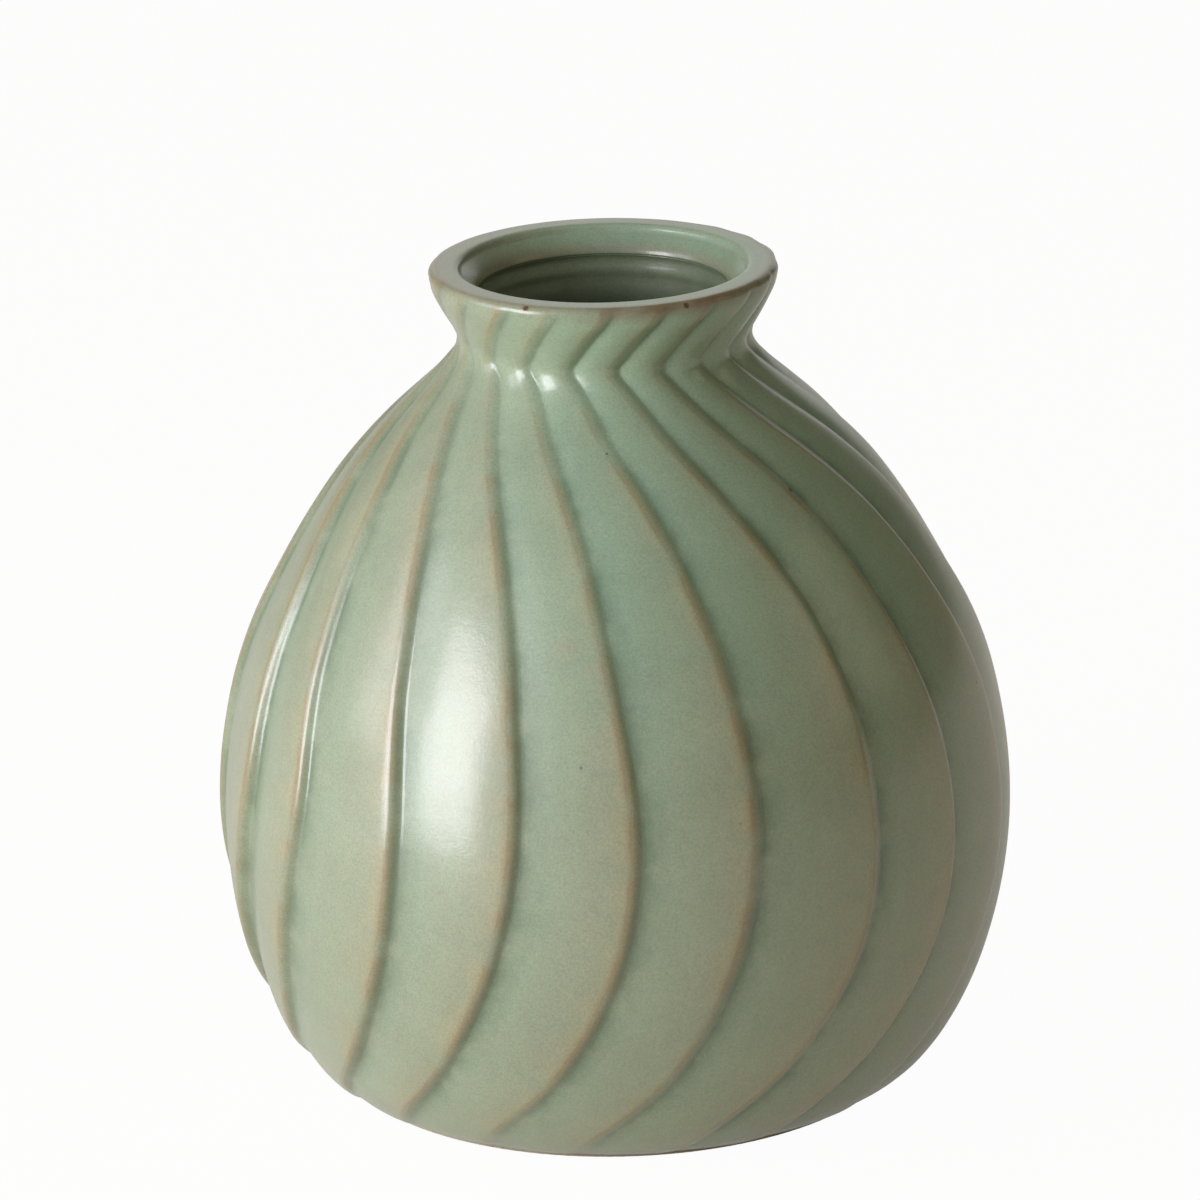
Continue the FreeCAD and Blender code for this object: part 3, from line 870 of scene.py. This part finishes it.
# %% Glaze
def glazed(name, is_ribbed):
    """The glaze: colour by the place on the rib, clouds, specks, and a skin that isn't quite smooth."""
    material = bpy.data.materials.new(name)
    material.use_nodes = True
    tree = material.node_tree
    shader = tree.nodes["Principled BSDF"]
    place = add(tree, "TexCoord").outputs["Object"]
    # Clouds 14 mm across come from uneven thickness, and wrinkles 0.4 mm across from the cooled skin.
    clouds = add(tree, "TexNoise", {"Vector": place, "Scale": 1 / (14 * MM), "Detail": 4.0, "Roughness": 0.6})
    drift = add(tree, "TexNoise", {"Vector": place, "Scale": 1 / (3 * MM), "Detail": 3.0, "Roughness": 0.6})
    skin = add(tree, "TexNoise", {"Vector": place, "Scale": 1 / (0.42 * MM), "Detail": 2.0, "Roughness": 0.5})
    base = ribbed_colour(tree, place, drift) if is_ribbed else lining_colour_and_shade(tree, place, clouds)
    # Clouds, drifts and wrinkles lighten and darken the colour by 3 to 12 parts in a hundred.
    for cloud, least, most in ((clouds, 0.95, 1.05), (drift, 0.97, 1.03), (skin, 0.88, 1.12)):
        shade = add(tree, "MapRange", {
            "Value": cloud.outputs[0], "From Min": 0.3, "From Max": 0.7, "To Min": least, "To Max": most,
        })
        both = {0: 1.0, 6: base, 7: shade.outputs[0]}
        base = add(tree, "Mix", both, data_type="RGBA", blend_type="MULTIPLY").outputs[2]
    # Pinholes, 0.4 mm across, where gas broke through. One cell in five of an 8 mm pattern has one.
    cells = add(tree, "TexVoronoi", {"Vector": place, "Scale": 1 / (8 * MM)})
    chosen = add(tree, "Math", {0: cells.outputs["Color"], 1: 0.8}, operation="GREATER_THAN")
    hole = add(tree, "MapRange", {
        "Value": cells.outputs["Distance"], "From Min": 0.015, "From Max": 0.035,
        "To Min": 1.0, "To Max": 0.0,
    })
    hole = add(tree, "Math", {0: hole.outputs[0], 1: chosen.outputs[0]}, operation="MULTIPLY")
    if is_ribbed:
        measured = spots(tree, place, rim_pits + pinholes, 0.4, 0.7)
        hole = add(tree, "Math", {0: hole.outputs[0], 1: measured}, operation="MAXIMUM")
    base = add(tree, "Mix", {0: hole.outputs[0], 6: base, 7: colour("4a3a26")}, data_type="RGBA").outputs[2]
    tree.links.new(base, shader.inputs["Base Color"])
    # The glaze proper is satin, in soft patches, and gives a wide haze. Its outermost skin is glossier.
    gloss = add(tree, "MapRange", {
        "Value": drift.outputs[0], "From Min": 0.3, "From Max": 0.7, "To Min": 0.43, "To Max": 0.53,
    })
    tree.links.new(gloss.outputs[0], shader.inputs["Roughness"])
    swell = add(tree, "Bump", {"Height": drift.outputs[0], "Strength": 0.35, "Distance": 0.12 * MM})
    fine = add(tree, "Bump", {
        "Height": skin.outputs[0], "Strength": 0.35, "Distance": 0.05 * MM, "Normal": swell.outputs[0],
    })
    pit = add(tree, "Bump", {
        "Height": hole.outputs[0], "Strength": 0.8, "Distance": 0.2 * MM, "Normal": fine.outputs[0],
    }, invert=True)
    tree.links.new(pit.outputs[0], shader.inputs["Normal"])
    tree.links.new(fine.outputs[0], shader.inputs["Coat Normal"])
    shader.inputs["IOR"].default_value = 1.5
    shader.inputs["Coat Roughness"].default_value = 0.2
    shader.inputs["Coat Weight"].default_value = 1.0
    shader.inputs["Coat IOR"].default_value = 1.52
    print(name, "has", len(tree.nodes), "nodes")
    return material


coat.data.materials.append(glazed("celadon_glaze", True))
liner.data.materials.append(glazed("celadon_lining_and_shade", False))

# %% [markdown]
# ## Bare stoneware
# The clay is buff stoneware with fine grog, fired in reduction, so it is dull, a little rough, and
# flecked with dark iron. It shows on the foot ring and under the vase. Two sizes of noise give it its
# tone and its grit, which is drawn 0.7 mm across, because real grog of half that wouldn't show.

# %% Clay
stoneware = bpy.data.materials.new("buff_stoneware")
stoneware.use_nodes = True
tree = stoneware.node_tree
shader = tree.nodes["Principled BSDF"]
place = add(tree, "TexCoord").outputs["Object"]
body_noise = add(tree, "TexNoise", {"Vector": place, "Scale": 1 / (6 * MM), "Detail": 5.0, "Roughness": 0.65})
grog = add(tree, "TexNoise", {"Vector": place, "Scale": 1 / (0.7 * MM), "Detail": 3.0, "Roughness": 0.6})
tone = add(tree, "ValToRGB", {0: body_noise.outputs[0]}, stops=((0.3, "a89a80", 1.0), (0.7, "c0b296", 1.0)))
flecks = add(tree, "MapRange", {"Value": grog.outputs[0], "From Min": 0.66, "From Max": 0.72})
tone = add(tree, "Mix", {0: flecks.outputs[0], 6: tone.outputs[0], 7: colour("5b4a37")}, data_type="RGBA")
tree.links.new(tone.outputs[2], shader.inputs["Base Color"])
rough = add(tree, "Bump", {"Height": grog.outputs[0], "Strength": 0.5, "Distance": 0.15 * MM})
tree.links.new(rough.outputs[0], shader.inputs["Normal"])
shader.inputs["Roughness"].default_value = 0.82
for data in (body.data, collar.data):
    data.materials.append(stoneware)
for name in ("floor", "foot_ring"):
    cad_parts[name].data.materials.clear()
    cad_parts[name].data.materials.append(stoneware)
print("Bare clay on", body.name, collar.name, "floor and foot_ring")
